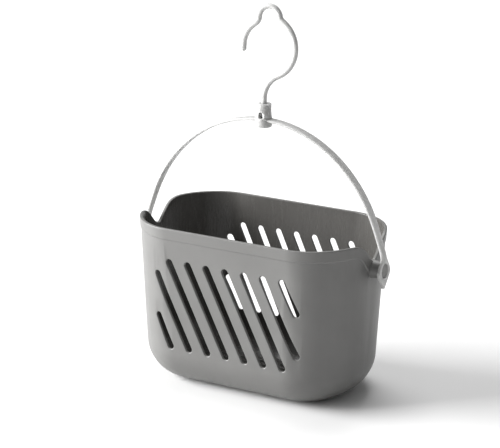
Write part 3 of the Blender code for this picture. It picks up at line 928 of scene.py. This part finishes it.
def moulded_plastic(name, colour, roughness, grain, mottle, edge_highlight_and_wear_colour):
    """Injection-moulded plastic: fine mould grain, faint flow marks, and polished edges whose colour
    is lightened as a painted highlight and wear.
    """
    nodes = Nodes(name)
    place = nodes.add("ShaderNodeTexCoord", "Object")
    cloud = nodes.noise(place, CLOUD_SCALE, 3.0)
    speckle = nodes.noise(place, SPECKLE_SCALE)
    flow_place = nodes.add("ShaderNodeMapping", Vector=place, Scale=FLOW_STRETCH)
    flow = nodes.noise(flow_place, FLOW_SCALE, 4.0, 0.6)

    # Edge mask: lightens the colour as a painted highlight and wear, and polishes the edges
    rounded_normal = nodes.add("ShaderNodeBevel", Radius=EDGE_RADIUS)
    normal = nodes.add("ShaderNodeNewGeometry", "Normal")
    edge = nodes.ranged(nodes.dot(rounded_normal, normal), *EDGE_AGREEMENT, 0.0, 1.0)
    patches = nodes.noise(place, EDGE_HIGHLIGHT_AND_WEAR_PATCH_SCALE, 3.0)
    patchy = nodes.ranged(patches, *EDGE_HIGHLIGHT_AND_WEAR_PATCH_RANGE, EDGE_HIGHLIGHT_AND_WEAR_LEAST, 1.0)
    edge_highlight_and_wear = nodes.math("MULTIPLY", edge, patchy)

    dark = tuple(c * (1.0 - mottle) for c in colour) + (1.0,)
    light = tuple(min(c * (1.0 + mottle), 1.0) for c in colour) + (1.0,)
    mottled = nodes.mixed(nodes.ranged(cloud, *MIDDLE_RANGE, 0.0, 1.0), dark, light)
    speckles = nodes.ranged(speckle, *SPECKLE_RANGE, 0.0, SPECKLE_SHARE)
    speckled = nodes.mixed(speckles, mottled, light)
    # Painted highlight and wear: the edges move towards their lighter colour
    edge_highlight_and_wear_share = nodes.math("MULTIPLY", edge_highlight_and_wear, EDGE_HIGHLIGHT_AND_WEAR_COLOUR_SHARE)
    nodes.put(nodes.shader.inputs["Base Color"], nodes.mixed(edge_highlight_and_wear_share, speckled, (*edge_highlight_and_wear_colour, 1.0)))

    flowing = nodes.ranged(flow, *MIDDLE_RANGE, -FLOW_ROUGHNESS, FLOW_ROUGHNESS)
    grainy = nodes.ranged(speckle, *MIDDLE_RANGE, -SPECKLE_ROUGHNESS, SPECKLE_ROUGHNESS)
    matt = nodes.math("ADD", nodes.math("ADD", flowing, roughness), grainy)
    polish = nodes.math("MULTIPLY", edge_highlight_and_wear, WEAR_POLISH)
    nodes.put(nodes.shader.inputs["Roughness"], nodes.math("SUBTRACT", matt, polish))

    swell = nodes.noise(place, WAVE_SCALE, 1.0)
    waves = nodes.add("ShaderNodeBump", Height=swell, Strength=WAVE_STRENGTH, Distance=WAVE_HEIGHT)
    pores = nodes.noise(place, GRAIN_SCALE, 2.0, 0.6)
    fine = nodes.add(
        "ShaderNodeBump", Height=pores, Strength=grain, Distance=GRAIN_HEIGHT, Normal=waves
    )
    nodes.put(nodes.shader.inputs["Normal"], fine)
    nodes.shader.inputs["IOR"].default_value = PLASTIC_IOR
    return nodes.material


def make_translucent(material, weight, depth):
    """Lets light soak into a material, equally deep in every colour."""
    inputs = material.node_tree.nodes["Principled BSDF"].inputs
    inputs["Subsurface Weight"].default_value = weight
    inputs["Subsurface Radius"].default_value = (1.0, 1.0, 1.0)
    inputs["Subsurface Scale"].default_value = depth


def pale_floor():
    """Matt near-white, faintly cloudy."""
    nodes = Nodes("studio_floor")
    place = nodes.add("ShaderNodeTexCoord", "Object")
    base = nodes.mixed(nodes.noise(place, FLOOR_CLOUD_SCALE), *FLOOR_COLOURS)
    nodes.put(nodes.shader.inputs["Base Color"], base)
    nodes.shader.inputs["Roughness"].default_value = FLOOR_ROUGHNESS
    nodes.shader.inputs["Specular IOR Level"].default_value = FLOOR_SPECULAR
    return nodes.material


# ---------------------------------------------------------------- studio


def add_floor_plane(bm):
    corners = ((-1, -1), (1, -1), (1, 1), (-1, 1))
    bm.faces.new([bm.verts.new((u * FLOOR_HALF, v * FLOOR_HALF, 0.0)) for u, v in corners])


def make_floor():
    floor = make_object("floor", add_floor_plane)
    floor.location.z = CAD_BOX[0][2] - FLOOR_GAP
    floor.data.materials.append(pale_floor())


def add_softbox(name, direction, distance, size, power):
    """A square area light that stands in a direction from the object and faces it."""
    data = bpy.data.lights.new(name, "AREA")
    data.shape = "SQUARE"
    data.size = size
    data.energy = power
    light = bpy.data.objects.new(name, data)
    towards = Vector(direction).normalized()
    light.location = LIGHT_AIM + towards * distance
    light.rotation_mode = "QUATERNION"
    light.rotation_quaternion = towards.to_track_quat("Z", "Y")
    bpy.context.scene.collection.objects.link(light)


def make_world(strength):
    world = bpy.data.worlds.new("studio")
    world.use_nodes = True
    background = world.node_tree.nodes["Background"]
    background.inputs["Color"].default_value = (1.0, 1.0, 1.0, 1.0)
    background.inputs["Strength"].default_value = strength
    bpy.context.scene.world = world


def make_camera():
    """The scene's camera, placed and turned by its azimuth, elevation and roll."""
    data = bpy.data.cameras.new("camera")
    data.sensor_width = VIEW_SENSOR
    data.lens = VIEW_LENS
    data.clip_start = VIEW_NEAREST
    data.clip_end = VIEW_FARTHEST
    camera = bpy.data.objects.new("camera", data)
    sin_a, cos_a = math.sin(VIEW_AZIMUTH), math.cos(VIEW_AZIMUTH)
    sin_e, cos_e = math.sin(VIEW_ELEVATION), math.cos(VIEW_ELEVATION)
    back = Vector((sin_a * cos_e, -cos_a * cos_e, sin_e))
    right = Vector((cos_a, sin_a, 0.0))
    up = back.cross(right)
    sin_r, cos_r = math.sin(VIEW_ROLL), math.cos(VIEW_ROLL)
    axes = (right * cos_r - up * sin_r, right * sin_r + up * cos_r, back)
    place = VIEW_TARGET + back * VIEW_DISTANCE
    camera.matrix_world = Matrix.Translation(place) @ Matrix(axes).transposed().to_4x4()
    bpy.context.scene.collection.objects.link(camera)
    bpy.context.scene.camera = camera


make_camera()
make_floor()
make_world(WORLD_STRENGTH)
for softbox in SOFTBOXES:
    add_softbox(*softbox)
bpy.context.scene.view_settings.view_transform = "Standard"

satin = moulded_plastic("grey_satin", *GREY_SATIN)
# Inside of the basket: a darker grey as painted shade, and glossier
gloss_painted_shade = moulded_plastic("grey_gloss_painted_shade", *GREY_GLOSS_PAINTED_SHADE)
white = moulded_plastic("white_satin", *WHITE_SATIN)
make_translucent(white, WHITE_SUBSURFACE, WHITE_SUBSURFACE_DEPTH)

pieces = (
    (make_basket((satin, gloss_painted_shade)), "basket", "grey_plastic"),
    (make_handle((white,)), "handle", "white_plastic"),
    (make_hook((white,)), "hook", "white_plastic"),
)
for piece, node, finish in pieces:
    body = body_of(frame["nodes"][node])[0]
    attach(piece, body)
    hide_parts(node)
